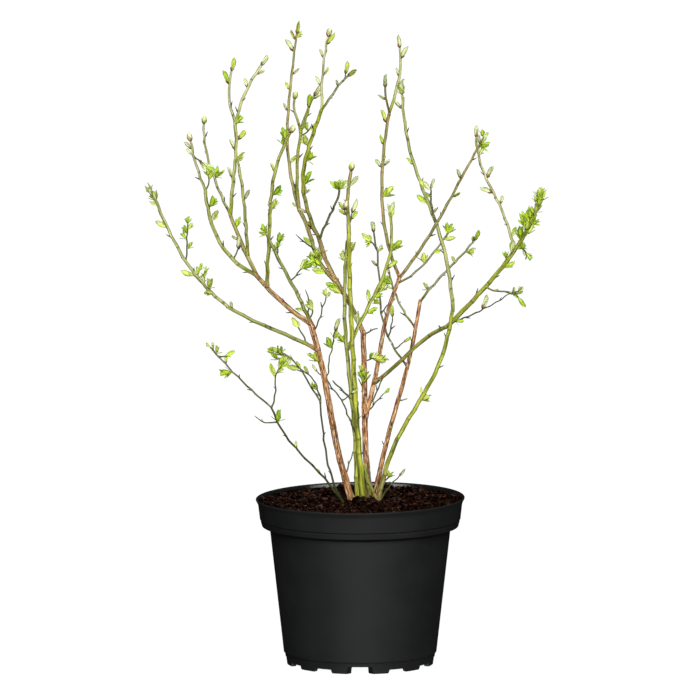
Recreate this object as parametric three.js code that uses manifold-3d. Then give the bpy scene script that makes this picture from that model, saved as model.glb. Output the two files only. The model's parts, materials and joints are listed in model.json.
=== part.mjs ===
// A young blueberry bush in a round nursery pot: a flared pot on small feet, compost up to just
// below its rim, a clump of canes that fork into boughs and shoots, and small tufts of young leaves.
// Millimetres, +Z up. The pot stands on z = 0, and the work is done about the pot's axis.

import * as THREE from "three";
import { mergeVertices } from "three/addons/utils/BufferGeometryUtils.js";
import Module from "manifold-3d";

const wasm = await Module();
wasm.setup();

// ---------------------------------------------------------------- driving dimensions

const gap = 0.3; // between pieces that touch

// Radii are of the outside. A depth is measured from the rim down.
const pot = {
  height: 183,
  rimRadius: 115, // the rolled lip
  lipDepth: 4.5,
  lipRound: 1.4, // how far the lip is rounded over
  collarTop: 112.8, // just below the lip
  stepRadius: 109.5, // the small step round the collar
  stepDepth: 23.8,
  stepOut: 0.6,
  collarFoot: 108.3, // the collar's lower edge
  collarDepth: 30.5,
  underCollar: 102.7, // where its underside slopes in
  underCollarDepth: 35.5,
  shoulder: 99.2, // the top of the body
  shoulderDepth: 38.5,
  innerCollarDepth: 28.5, // where the wall turns in again on the inside
  innerShoulderDepth: 36.5,
  innerFoot: 82, // the inside at the floor
  bodyFoot: 84.3, // just above the skirt
  skirtTop: 83,
  skirtFoot: 81.6,
  skirtHeight: 12.3, // the ring that the feet are cut from, and the floor's underside
  ledge: 1, // how far the body's foot slopes down to the skirt
  wall: 1.6,
  feet: 12,
  footHeight: 4,
  waterGap: 8, // the height of the taller gaps between feet, the ways out for water
  footSlope: 1, // how much narrower a gap between feet is at its top, on each side
  drains: 8,
  drainRadius: 6,
  drainCircle: 62,
  drainSides: 12,
  cutReach: 10, // how far a cut goes past the wall it goes through, to either side
  segments: 48,
};

const compostTop = 177; // flat, a little below the rim

const finishes = {
  plastic: { color: 0x1b1d1c, roughness: 0.5 },
  compost: { color: 0x2e1c15, roughness: 1 },
  brown: { color: 0xa8765a, roughness: 0.75 },
  olive: { color: 0x8f8a4c, roughness: 0.65 },
  green: { color: 0x97a458, roughness: 0.6 },
  leaves: { color: 0xa3c440, roughness: 0.6 },
};

const limbShape = {
  sides: 6,
  ringSpacing: 24,
  flare: 0.4, // how much wider a cane is where it meets the compost
  flareLength: 14,
  tipLength: 1.6, // the length of the end cone, in radii
  crowding: 12, // limbs whose feet are this near to one another are cut to clear
};

// Canes stand in the compost. foot is [x, y] there, tip is [x, y, z]. bow is how far the middle
// stands off the straight line from foot to tip, seen from the front, and sway is how far the
// quarter points stand off to opposite sides of that curve; to the right is positive. thick is
// the diameter at foot and tip.
const canes = {
  left_cane: { foot: [-8, -5], tip: [-55, -22, 382], bow: -1, sway: -2, thick: [6.8, 5.8] },
  thin_left_cane: { foot: [-20, 14], tip: [-44, 10, 289], bow: -6, sway: -1, thick: [2.2, 1.8] },
  lowest_left_cane: { foot: [-17, -14], tip: [-98, -60, 293], bow: -4, sway: 3, thick: [2.3, 2] },
  left_green_cane: { foot: [-3, 12], tip: [-14, 16, 467], bow: -4, sway: 3, thick: [4.9, 3.5] },
  right_green_cane: { foot: [4, 8], tip: [-13, -18, 490], bow: -3, thick: [5.4, 4.4] },
  middle_cane: { foot: [11, 22], tip: [3, 25, 367], bow: -2, sway: -1, thick: [6.6, 5.4] },
  right_cane: { foot: [15, 8], tip: [66, 2, 403], bow: 1, sway: -2, thick: [5.3, 3.6] },
  arching_cane: { foot: [19, -14], tip: [101, -75, 404], bow: 1, sway: -7, thick: [4.8, 3.9] },
};

// Boughs and shoots leave another limb at this fraction of it, or go on from its end.
const boughs = {
  left_bough: { from: "left_cane", tip: [-115, -40, 436], bow: -3, thick: [5.3, 4.4] },
  outer_left_bough: { from: "left_bough", tip: [-168, -85, 534], bow: -16, sway: -1, thick: [4.2, 3.5] },
  outer_left_shoot: { from: "outer_left_bough", tip: [-185, -105, 597], bow: -2, thick: [3, 2.4] },
  forked_left_bough: { from: "left_bough", tip: [-143, 0, 498], bow: -1, thick: [4.5, 3.7] },
  high_left_bough: { from: "forked_left_bough", tip: [-138, 60, 594], bow: 2, sway: -1, thick: [3.9, 3.5] },
  high_left_shoot: { from: "high_left_bough", tip: [-137, 50, 664], bow: -7, thick: [3.1, 2.2] },
  high_left_side_shoot: {
    from: "high_left_bough", at: 0.97, tip: [-101, 95, 663], bow: -5, thick: [3.4, 2.7],
  },
  inner_left_shoot: {
    from: "forked_left_bough", at: 0.96, tip: [-170, -30, 609], bow: -8, sway: 1, thick: [3.1, 2.2],
  },
  left_crossing_shoot: {
    from: "forked_left_bough", at: 0.32, tip: [-133, -75, 565], bow: 2, thick: [3.6, 3],
  },
  left_upright: {
    from: "left_bough", at: 0.77, tip: [-71, -110, 606], bow: -11, sway: 3, thick: [4.1, 3.1],
  },
  slanting_left_shoot: { from: "left_cane", tip: [-106, -75, 494], sway: 1, thick: [4.1, 3.2] },
  low_left_bough: {
    from: "left_cane", at: 0.84, tip: [-146, -75, 405], bow: -1, sway: 1, thick: [4.2, 3.6],
  },
  low_left_shoot: { from: "low_left_bough", tip: [-224, -125, 535], bow: -11, sway: -1, thick: [3.6, 3] },
  thin_left_shoot: { from: "thin_left_cane", tip: [-98, -35, 354], bow: 8, sway: -2, thick: [1.9, 1.6] },
  lowest_left_shoot: { from: "lowest_left_cane", tip: [-167, -110, 369], bow: -2, thick: [2, 1.7] },
  green_tip_shoot: { from: "right_green_cane", tip: [-8, -30, 558], bow: -3, thick: [4.1, 3.2] },
  middle_bough: { from: "middle_cane", tip: [-46, 40, 468], bow: -2, sway: 2, thick: [5.1, 4.4] },
  crown_bough: {
    from: "middle_bough", at: 0.54, tip: [-69, 75, 497], bow: -5, sway: -3, thick: [4.6, 4],
  },
  tallest_shoot: { from: "crown_bough", tip: [-68, 120, 699], bow: -12, sway: -2, thick: [3.8, 2.1] },
  crown_shoot: { from: "crown_bough", tip: [-44, 70, 633], bow: -12, sway: 1, thick: [3.8, 2.5] },
  crown_side_shoot: {
    from: "crown_shoot", at: 0.6, tip: [-70, 50, 629], bow: -4, sway: 1, thick: [3.1, 2.2],
  },
  olive_bough: { from: "middle_bough", tip: [-63, 0, 524], bow: -2, thick: [4.3, 3.9] },
  olive_shoot: { from: "olive_bough", tip: [-41, -40, 619], bow: -5, sway: -1, thick: [4.3, 3.5] },
  olive_top_shoot: { from: "olive_shoot", tip: [-33, -50, 706], bow: -3, thick: [2.9, 2.2] },
  olive_side_shoot: {
    from: "olive_shoot", at: 0.96, tip: [-4, -85, 663], bow: -3, sway: 1, thick: [2.7, 2.1],
  },
  leaning_shoot: { from: "middle_bough", tip: [-21, -45, 536], bow: 2, sway: -1, thick: [2.6, 2.3] },
  inner_right_cane: {
    from: "middle_cane", at: 0.48, tip: [44, 35, 425], bow: -2, sway: 2, thick: [5, 3.8],
  },
  tall_right_bough: { from: "inner_right_cane", tip: [33, 110, 601], bow: -14, sway: -1, thick: [3.7, 3.2] },
  tall_right_shoot: { from: "tall_right_bough", tip: [41, 135, 682], bow: 7, sway: -1, thick: [3.4, 2.3] },
  tall_right_side_shoot: {
    from: "tall_right_bough", at: 0.98, tip: [29, 95, 641], bow: -3, thick: [2.5, 2.1],
  },
  right_bough: { from: "inner_right_cane", tip: [133, -35, 583], bow: 4, sway: 1, thick: [3.6, 2.3] },
  right_leafy_shoot: {
    from: "inner_right_cane", at: 0.94, tip: [103, 85, 475], bow: 6, sway: 1, thick: [2.3, 1.9],
  },
  right_cane_shoot: { from: "right_cane", tip: [130, -85, 486], sway: -1, thick: [2.7, 2.1] },
  inward_shoot: { from: "right_cane", at: 0.86, tip: [31, 75, 429], bow: -5, thick: [2.3, 2] },
  centre_back_shoot: {
    from: "right_cane", at: 0.67, tip: [13, 110, 477], bow: -11, sway: -5, thick: [2.2, 1.9],
  },
  green_right_shoot: {
    from: "left_green_cane", at: 0.58, tip: [31, 40, 502], bow: 15, sway: -4, thick: [3.9, 2.8],
  },
  low_right_bough: {
    from: "inner_right_cane", at: 0.25, tip: [98, -42, 380], bow: -3, sway: 2, thick: [4, 4.2],
  },
  far_right_bough: { from: "low_right_bough", tip: [195, -70, 517], bow: 9, sway: -1, thick: [5, 3.8] },
  far_right_shoot: {
    from: "far_right_bough", at: 0.65, tip: [127, 40, 590], bow: -4, sway: 4, thick: [3.1, 2.4],
  },
  far_right_twig: {
    from: "far_right_bough", at: 0.35, tip: [165, -125, 424], bow: 1, sway: 1, thick: [2, 1.7],
  },
  arching_bough: { from: "arching_cane", tip: [44, -135, 651], bow: -1, sway: 6, thick: [4.1, 2.8] },
  arching_twig: { from: "arching_bough", at: 0.39, tip: [75, -165, 536], bow: -1, thick: [2.5, 2] },
};

// The oldest limbs are brown, some are turning from green to brown, and the rest are green.
const brownLimbs = [
  "left_cane", "middle_cane", "right_cane", "left_bough", "middle_bough", "crown_bough",
  "inner_right_cane",
];
const oliveLimbs = [
  "forked_left_bough", "left_crossing_shoot", "tallest_shoot", "crown_shoot", "olive_bough",
  "olive_shoot", "tall_right_bough", "right_bough",
];

// Tufts of young leaves. Each sits on a limb at a fraction of its length, and stands off to one
// side by the offset [x, y, z]. size is its length across X, Y and Z.
const tufts = {
  outer_tuft: { on: "low_left_shoot", at: 1, offset: [-4, -3, 4], size: [17, 14, 18] },
  low_left_tuft: { on: "low_left_shoot", at: 0.28, offset: [4, -4, 9], size: [20, 16, 17] },
  left_cluster: { on: "thin_left_shoot", at: 1, offset: [4, -3, -4], size: [22, 18, 18] },
  centre_tuft: { on: "crown_bough", at: 0.3, offset: [-4, -7, 2], size: [18, 18, 22] },
  low_centre_tuft: { on: "middle_cane", at: 0.76, offset: [-1, -7, 0], size: [14, 13, 18] },
  right_tuft: { on: "far_right_bough", at: 1, offset: [1, -2, 8], size: [20, 17, 24] },
  right_cluster: { on: "far_right_bough", at: 0.85, offset: [-3, 0, 9], size: [18, 20, 32] },
  low_right_tuft: { on: "far_right_twig", at: 1, offset: [7, -3, 1], size: [18, 18, 15] },
};

const tuftUnevenness = 0.22;
const tuftWaves = new THREE.Vector3(9, 7, 8); // how closely the waves on a tuft follow one another

// ---------------------------------------------------------------- solids and meshes

const group = new THREE.Group();

function addMesh(name, geometry, finish) {
  const material = new THREE.MeshStandardMaterial({ ...finish, metalness: 0 });
  const mesh = new THREE.Mesh(geometry, material);
  mesh.name = name;
  group.add(mesh);
}

function toSolid(geometry) {
  geometry.deleteAttribute("normal");
  geometry.deleteAttribute("uv");
  const merged = mergeVertices(geometry, 1e-4);
  return new wasm.Manifold(
    new wasm.Mesh({
      numProp: 3,
      vertProperties: new Float32Array(merged.attributes.position.array),
      triVerts: new Uint32Array(merged.index.array),
    }),
  );
}

function toGeometry(solid) {
  const { vertProperties, triVerts } = solid.getMesh();
  const geometry = new THREE.BufferGeometry();
  geometry.setAttribute("position", new THREE.BufferAttribute(vertProperties, 3));
  geometry.setIndex(new THREE.BufferAttribute(triVerts, 1));
  geometry.computeVertexNormals();
  return geometry;
}

// A cut can leave crumbs; only the largest piece is the part.
function largestPiece(solid) {
  return solid.decompose().sort((a, b) => b.volume() - a.volume())[0];
}

function lathe(profile) {
  const points = profile.map(([radius, z]) => new THREE.Vector2(radius, z));
  const geometry = new THREE.LatheGeometry(points, pot.segments);
  geometry.rotateX(Math.PI / 2); // the lathe turns about Y
  return geometry;
}

// ---------------------------------------------------------------- pot

const floorTop = pot.skirtHeight + 2 * pot.wall;

// The inner wall, from the floor up to the lip, as [radius, z].
const innerWall = [
  [pot.innerFoot, floorTop],
  [pot.shoulder - pot.wall, pot.height - pot.innerShoulderDepth],
  [pot.collarFoot - pot.wall, pot.height - pot.innerCollarDepth],
  [pot.collarTop - pot.wall, pot.height - pot.lipDepth],
];

function potSolid() {
  const stepZ = pot.height - pot.stepDepth;
  const innerSkirt = pot.skirtFoot - 2 * pot.wall;
  const shell = toSolid(
    lathe([
      [0, pot.skirtHeight],
      [innerSkirt, pot.skirtHeight],
      [innerSkirt, 0],
      [pot.skirtFoot, 0],
      [pot.skirtTop, pot.skirtHeight],
      [pot.bodyFoot, pot.skirtHeight + pot.ledge],
      [pot.shoulder, pot.height - pot.shoulderDepth],
      [pot.underCollar, pot.height - pot.underCollarDepth],
      [pot.collarFoot, pot.height - pot.collarDepth],
      [pot.stepRadius, stepZ],
      [pot.stepRadius + pot.stepOut, stepZ + pot.stepOut],
      [pot.collarTop, pot.height - pot.lipDepth],
      [pot.rimRadius, pot.height - 2 * pot.lipRound],
      [pot.rimRadius, pot.height - pot.lipRound],
      [pot.rimRadius - pot.lipRound, pot.height],
      [pot.collarTop - pot.lipRound / 2, pot.height - pot.lipRound / 2],
      ...innerWall.toReversed(),
      [0, floorTop],
    ]),
  );
  return shell.subtract(wasm.Manifold.union([...footGaps(), ...drainHoles()]));
}

// The skirt is cut away between the feet: higher at four of the gaps, as a way out for water, and
// to the height of the feet at the others.
function footGaps() {
  const step = (2 * Math.PI) / pot.feet;
  const halfWidth = pot.skirtFoot * Math.sin(step / 4);
  return Array.from({ length: pot.feet }, (_, i) => {
    const height = i % (pot.feet / 4) === 0 ? pot.waterGap : pot.footHeight;
    const [low, high] = [halfWidth + pot.footSlope, halfWidth - pot.footSlope];
    const outline = new THREE.Shape([
      new THREE.Vector2(-low, -pot.footSlope),
      new THREE.Vector2(low, -pot.footSlope),
      new THREE.Vector2(high, height),
      new THREE.Vector2(-high, height),
    ]);
    const wedge = new THREE.ExtrudeGeometry(outline, { depth: 2 * pot.cutReach, bevelEnabled: false });
    wedge.rotateX(Math.PI / 2); // the outline stands upright, and the cut runs towards -Y
    wedge.translate(0, pot.cutReach - pot.skirtFoot, 0);
    wedge.rotateZ(i * step);
    return toSolid(wedge);
  });
}

function drainHoles() {
  return Array.from({ length: pot.drains }, (_, i) => {
    const { drainRadius: radius, cutReach, drainSides } = pot;
    const drill = new THREE.CylinderGeometry(radius, radius, 2 * cutReach, drainSides);
    drill.rotateX(Math.PI / 2);
    drill.translate(pot.drainCircle, 0, pot.skirtHeight);
    drill.rotateZ(((i + 0.5) * 2 * Math.PI) / pot.drains);
    return toSolid(drill);
  });
}

// The compost fills the inner wall to its own level.
function compostGeometry() {
  const [lower, upper] = innerWall.slice(-2);
  const share = (compostTop - lower[1]) / (upper[1] - lower[1]);
  const edge = THREE.MathUtils.lerp(lower[0], upper[0], share);
  const side = [...innerWall.slice(0, -1), [edge, compostTop]].map(([radius, z]) => [radius - gap, z]);
  side[0][1] += gap;
  return lathe([[0, side[0][1]], ...side, [0, compostTop]]);
}

addMesh("pot", toGeometry(potSolid()), finishes.plastic);
addMesh("compost", compostGeometry(), finishes.compost);

// ---------------------------------------------------------------- limbs

class LimbSpine extends THREE.Curve {
  constructor(foot, tip, bow = 0, sway = 0) {
    super();
    this.foot = foot;
    this.tip = tip;
    this.bow = bow;
    this.sway = sway;
    this.aside = new THREE.Vector3(tip.z - foot.z, 0, foot.x - tip.x).normalize();
  }

  getPoint(t, target = new THREE.Vector3()) {
    const off = this.bow * 4 * t * (1 - t) + this.sway * Math.sin(2 * Math.PI * t);
    return target.lerpVectors(this.foot, this.tip, t).addScaledVector(this.aside, off);
  }
}

// One tapering limb as rings of vertices round its spine, closed by a flat foot and an end cone.
// With grow it is that much fatter, as the cutter that keeps the gap to its neighbours.
function limbSolid({ spine, thick, flared }, grow = 0) {
  const length = spine.getLength();
  const cone = (limbShape.tipLength * thick[1]) / 2;
  const rings = Math.max(2, Math.ceil((length - cone) / limbShape.ringSpacing));
  const stops = Array.from({ length: rings + 1 }, (_, i) => ((length - cone) / rings) * i);
  if (flared) {
    stops.unshift(-thick[0]);
    stops.splice(2, 0, limbShape.flareLength / 3, limbShape.flareLength);
  }
  const positions = [];
  for (const along of stops) {
    const centre = spine.getPointAt(Math.max(along, 0) / length);
    const tangent = spine.getTangentAt(Math.max(along, 0) / length);
    centre.addScaledVector(tangent, Math.min(along, 0));
    const flare = flared ? limbShape.flare * Math.exp(-Math.max(along, 0) / limbShape.flareLength) : 0;
    const radius = (THREE.MathUtils.lerp(thick[0], thick[1], along / length) / 2) * (1 + flare) + grow;
    const right = new THREE.Vector3(0, 1, 0).cross(tangent).normalize();
    const back = tangent.clone().cross(right);
    for (let k = 0; k < limbShape.sides; k++) {
      const turn = (k * 2 * Math.PI) / limbShape.sides;
      const point = centre.clone();
      point.addScaledVector(right, radius * Math.cos(turn)).addScaledVector(back, radius * Math.sin(turn));
      positions.push(...point);
    }
  }
  const footCentre = spine.getPointAt(0).addScaledVector(spine.getTangentAt(0), Math.min(stops[0], 0));
  const apex = spine.getPointAt(1).addScaledVector(spine.getTangentAt(1), grow);
  positions.push(...footCentre, ...apex);

  const n = limbShape.sides;
  const footIndex = stops.length * n;
  const apexIndex = footIndex + 1;
  const faces = [];
  for (let k = 0; k < n; k++) {
    const next = (k + 1) % n;
    faces.push(footIndex, next, k);
    for (let i = 0; i < stops.length - 1; i++) {
      const [a, b, c, d] = [i * n + k, i * n + next, (i + 1) * n + next, (i + 1) * n + k];
      faces.push(a, b, c, a, c, d);
    }
    faces.push(apexIndex, (stops.length - 1) * n + k, (stops.length - 1) * n + next);
  }
  const geometry = new THREE.BufferGeometry();
  geometry.setAttribute("position", new THREE.Float32BufferAttribute(positions, 3));
  geometry.setIndex(faces);
  return toSolid(geometry);
}

const limbs = {};
const gapToFacets = gap / Math.cos(Math.PI / limbShape.sides);

function addLimb(name, solid) {
  const bark = brownLimbs.includes(name) ? "brown" : oliveLimbs.includes(name) ? "olive" : "green";
  addMesh(name, toGeometry(solid), finishes[bark]);
}

for (const [name, cane] of Object.entries(canes)) {
  const foot = new THREE.Vector3(...cane.foot, compostTop);
  const spine = new LimbSpine(foot, new THREE.Vector3(...cane.tip), cane.bow, cane.sway);
  limbs[name] = { ...cane, spine, flared: true };
  const solid = limbSolid(limbs[name]).trimByPlane([0, 0, 1], compostTop + gap);
  limbs[name].fat = limbSolid(limbs[name], gapToFacets);
  addLimb(name, solid);
}

// A bough starts inside the limb that carries it and is cut back to clear that limb and those
// that leave it close by, so its foot follows the bark it grows from.
for (const [name, bough] of Object.entries(boughs)) {
  const parent = limbs[bough.from];
  const cone = (limbShape.tipLength * parent.thick[1]) / 2;
  const end = 1 - cone / parent.spine.getLength();
  const foot = parent.spine.getPoint(Math.min(bough.at ?? end, end));
  const spine = new LimbSpine(foot, new THREE.Vector3(...bough.tip), bough.bow, bough.sway);
  limbs[name] = { ...bough, spine, flared: false };
  const isNear = (other) => other.fat && other.from && other.spine.foot.distanceTo(foot) < limbShape.crowding;
  const neighbours = Object.values(limbs).filter((other) => other === parent || isNear(other));
  const cutters = wasm.Manifold.union(neighbours.map((other) => other.fat));
  const solid = largestPiece(limbSolid(limbs[name]).subtract(cutters));
  limbs[name].fat = limbSolid(limbs[name], gapToFacets);
  addLimb(name, solid);
}

// ---------------------------------------------------------------- tufts of leaves

// An uneven ball: a sphere pushed in and out by waves that differ from tuft to tuft.
function tuftSolid({ on, at, offset, size }, index) {
  const facets = new THREE.IcosahedronGeometry(0.5, 1).deleteAttribute("normal").deleteAttribute("uv");
  const ball = mergeVertices(facets);
  const centre = limbs[on].spine.getPoint(at).add(new THREE.Vector3(...offset));
  const point = new THREE.Vector3();
  const positions = ball.attributes.position;
  for (let i = 0; i < positions.count; i++) {
    point.fromBufferAttribute(positions, i);
    const waves = point.clone().multiply(tuftWaves).addScalar(index);
    const swell = 1 + tuftUnevenness * Math.sin(waves.x) * Math.sin(waves.y) * Math.cos(waves.z);
    point.multiplyScalar(swell).multiply(new THREE.Vector3(...size)).add(centre);
    positions.setXYZ(i, ...point);
  }
  const near = Object.values(limbs).filter((limb) => limb.fat);
  return largestPiece(toSolid(ball).subtract(wasm.Manifold.union(near.map((limb) => limb.fat))));
}

Object.entries(tufts).forEach(([name, tuft], index) => {
  addMesh(name, toGeometry(tuftSolid(tuft, index)), finishes.leaves);
});

// ---------------------------------------------------------------- origin

// The origin lies on the ground at the middle of the whole plant.
const box = new THREE.Box3().setFromObject(group);
const middle = box.getCenter(new THREE.Vector3());
group.position.set(-middle.x, -middle.y, -box.min.z);

export default group;
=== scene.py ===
# A young blueberry bush in a round nursery pot, in early spring. Lengths are metres where a piece is
# finished, and millimetres while a small shape is worked out.
import json
import math
import random

import bmesh
import bpy
import numpy as np
from mathutils import Matrix, Vector, noise


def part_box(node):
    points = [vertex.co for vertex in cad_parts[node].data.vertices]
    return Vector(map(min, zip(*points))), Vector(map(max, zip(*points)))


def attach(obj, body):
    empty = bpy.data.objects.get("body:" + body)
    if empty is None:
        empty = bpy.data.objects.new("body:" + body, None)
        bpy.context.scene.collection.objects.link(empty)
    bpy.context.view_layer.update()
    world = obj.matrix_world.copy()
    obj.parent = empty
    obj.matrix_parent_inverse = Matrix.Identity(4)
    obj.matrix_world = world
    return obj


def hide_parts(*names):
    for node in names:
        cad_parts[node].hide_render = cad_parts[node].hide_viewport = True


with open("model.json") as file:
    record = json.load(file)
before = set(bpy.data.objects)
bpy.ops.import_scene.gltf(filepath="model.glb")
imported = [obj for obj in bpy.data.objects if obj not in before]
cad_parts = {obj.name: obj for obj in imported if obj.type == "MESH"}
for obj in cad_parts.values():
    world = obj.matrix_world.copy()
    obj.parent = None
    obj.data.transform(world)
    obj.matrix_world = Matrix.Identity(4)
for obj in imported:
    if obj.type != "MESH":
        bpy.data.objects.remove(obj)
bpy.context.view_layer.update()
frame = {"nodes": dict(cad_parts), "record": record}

# ---------------------------------------------------------------- camera
# A long lens eight metres away and 1.4 m up, which looks down on the pot a little, so that the plant
# stands upright and its compost shows as a thin ellipse.
mm = 0.001

camera_height = 1364 * mm
camera_distance = 7985 * mm
camera_aside = 1.8 * mm
camera_pitch = math.radians(7.23)

camera_data = bpy.data.cameras.new("camera")
camera_data.sensor_width = 36
camera_data.lens = 380
camera_data.clip_end = 200
camera = bpy.data.objects.new("camera", camera_data)
camera.location = (camera_aside, -camera_distance, camera_height)
camera.rotation_euler = (math.pi / 2 - camera_pitch, 0, 0)
bpy.context.scene.collection.objects.link(camera)
bpy.context.scene.camera = camera

# ---------------------------------------------------------------- studio
# A floor and backdrop of plain glowing white, as in a product studio. The light comes from the
# front, a little from the right and from above, and the room to the sides is dim.
bpy.context.scene.view_settings.view_transform = "Standard"


def paint(code):
    """A linear colour from a web colour such as "8a9648"."""
    parts = [int(code[i : i + 2], 16) / 255 for i in (0, 2, 4)]
    return (*(p / 12.92 if p < 0.04 else ((p + 0.055) / 1.055) ** 2.4 for p in parts), 1)


def feed(tree, socket, part):
    """Links a socket to a value that nodes work out, or sets it to a number or a web colour."""
    if isinstance(part, Value):
        tree.links.new(part.socket, socket)
    else:
        socket.default_value = paint(part) if isinstance(part, str) else part


class Value:
    """A socket that takes part in sums. Each sum adds its node to the tree."""

    def __init__(self, tree, socket):
        self.tree = tree
        self.socket = socket

    def work(self, operation, *parts):
        node = self.tree.nodes.new("ShaderNodeMath")
        node.operation = operation
        for socket, part in zip(node.inputs, parts):
            feed(self.tree, socket, part)
        return Value(self.tree, node.outputs[0])

    def __add__(self, other):
        return self.work("ADD", self, other)

    def __mul__(self, other):
        return self.work("MULTIPLY", self, other)

    def __sub__(self, other):
        return self.work("SUBTRACT", self, other)

    def __rsub__(self, other):
        return self.work("SUBTRACT", other, self)

    def clamped(self):
        return self.work("MINIMUM", self.work("MAXIMUM", self, 0.0), 1.0)

    def ramp(self, start, slope):
        """A share that is 0 up to the start and then rises to 1, or down to it if the slope is negative."""
        return ((self - start) * slope).clamped()


class Finish:
    """The nodes of a material or a world, round the one shader that they feed."""

    def __init__(self, owner, shader):
        owner.use_nodes = True
        self.owner = owner
        self.tree = owner.node_tree
        self.shader = self.tree.nodes[shader]

    def set(self, **parts):
        """Feeds sockets of the shader. A space in a socket's name is written as _."""
        for name, part in parts.items():
            feed(self.tree, self.shader.inputs[name.replace("_", " ")], part)

    def node(self, kind, sockets=None, output=0, **settings):
        node = self.tree.nodes.new("ShaderNode" + kind)
        for name, setting in settings.items():
            setattr(node, name, setting)
        for name, part in (sockets or {}).items():
            feed(self.tree, node.inputs[name], part)
        return Value(self.tree, node.outputs[output])

    def mark(self, name, output=2):
        """What the mesh itself says under a name, from point to point."""
        return self.node("Attribute", output=output, attribute_name=name)

    def mix(self, share, first, second):
        return self.node("Mix", {0: share, 6: first, 7: second}, 2, data_type="RGBA")

    def place(self):
        return self.node("TexCoord", output=3)

    def specks(self, scale, detail, roughness=0.5, place=None):
        """Noise by the place on the object, or by a place that is given."""
        sockets = {"Vector": place or self.place(), "Scale": scale, "Detail": detail}
        return self.node("TexNoise", {**sockets, "Roughness": roughness})

    def bump(self, height, strength, depth):
        """Gives the shader relief of a depth in mm."""
        sockets = {"Height": height, "Strength": strength, "Distance": depth * mm}
        self.set(Normal=self.node("Bump", sockets))


def surface(name, colour, roughness, shine):
    """The finish of a new material, of one plain colour until nodes are fed into it."""
    finish = Finish(bpy.data.materials.new(name), "Principled BSDF")
    finish.set(Base_Color=colour, Roughness=roughness, Specular_IOR_Level=shine)
    return finish


def show(name, mesh, finish, smooth=True):
    """An object in the scene from a finished mesh, in metres."""
    mesh.polygons.foreach_set("use_smooth", [smooth] * len(mesh.polygons))
    mesh.materials.append(finish.owner)
    piece = bpy.data.objects.new(name, mesh)
    bpy.context.scene.collection.objects.link(piece)
    return piece


def new_piece(name, shape, finish):
    """An object in the scene from a finished bmesh, in metres."""
    mesh = bpy.data.meshes.new(name)
    shape.to_mesh(mesh)
    shape.free()
    return show(name, mesh, finish)


white = (1, 1, 1, 1)
floor_grey = (0.1, 0.1, 0.1, 1)
floor_reach = 60
floor_shape = bmesh.new()
bmesh.ops.create_grid(floor_shape, x_segments=1, y_segments=1, size=floor_reach)
floor_finish = surface("studio_floor", floor_grey, 0.9, 0.0)
floor_finish.set(Emission_Color=white, Emission_Strength=0.97)
floor = new_piece("studio_floor", floor_shape, floor_finish)
floor.visible_glossy = False
floor.visible_diffuse = False

room_light = 0.2
mirrored_light = 0.03
world = bpy.data.worlds.new("studio")
room = Finish(world, "Background")
seen = room.node("LightPath")
mirrored = room.node("LightPath", output=3)
strength = seen + mirrored * mirrored_light + (1 - seen - mirrored) * room_light
room.set(Color=white, Strength=strength)
bpy.context.scene.world = world


def softbox(name, azimuth, elevation, strength, spread):
    """A far soft lamp: azimuth 0 shines from the camera's side, and more from further right."""
    lamp = bpy.data.lights.new(name, "SUN")
    lamp.energy = strength
    lamp.angle = math.radians(spread)
    holder = bpy.data.objects.new(name, lamp)
    turn = Matrix.Rotation(math.radians(azimuth), 4, "Z")
    tilt = Matrix.Rotation(math.radians(90 - elevation), 4, "X")
    holder.matrix_world = turn @ tilt
    bpy.context.scene.collection.objects.link(holder)


softbox("key_light", 5, 26, 2.8, 36)
softbox("front_light", 0, -6, 1.6, 50)
softbox("top_light", 10, 78, 0.5, 60)

# ---------------------------------------------------------------- pot
# A thin-walled nursery pot, moulded in black plastic: a rolled lip, a deep collar with a small step
# round it, a body that narrows downwards and a skirt that is cut into twelve feet.
pot_low, pot_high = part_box("pot")
axis = ((pot_low + pot_high) / 2).to_2d().to_3d() / mm
pot_height = pot_high.z / mm
rim_radius = (pot_high.x - pot_low.x) / 2 / mm
collar_top = 112.8
collar_foot = 108.3
collar_z = pot_height - 30.5
groove_z = pot_height - 23.8
groove_radius = 109.5
shoulder = 99.2
shoulder_z = pot_height - 35.6
body_foot = 84.3
skirt_foot = 81.6
skirt_height = 12.3
skirt_wall = 6
skirt_inside = skirt_foot - skirt_wall
wall = 1.5
floor_top = skirt_height + 2 * wall
pot_segments = 144
foot_count = 12
foot_height = 4
water_gap = 8
drain_count = 8
drain_radius = 6
drain_circle = 62
lip_radius = 1.1
cut_start = skirt_foot - 12  # the feet are cut from here outwards
cut_reach = 20


def arc(centre, radius, start, end, steps):
    """Points on an arc in the (radius, z) plane, with the angles in degrees."""
    angles = [math.radians(start + (end - start) * i / steps) for i in range(steps + 1)]
    return [(centre[0] + radius * math.cos(a), centre[1] + radius * math.sin(a)) for a in angles]


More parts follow.
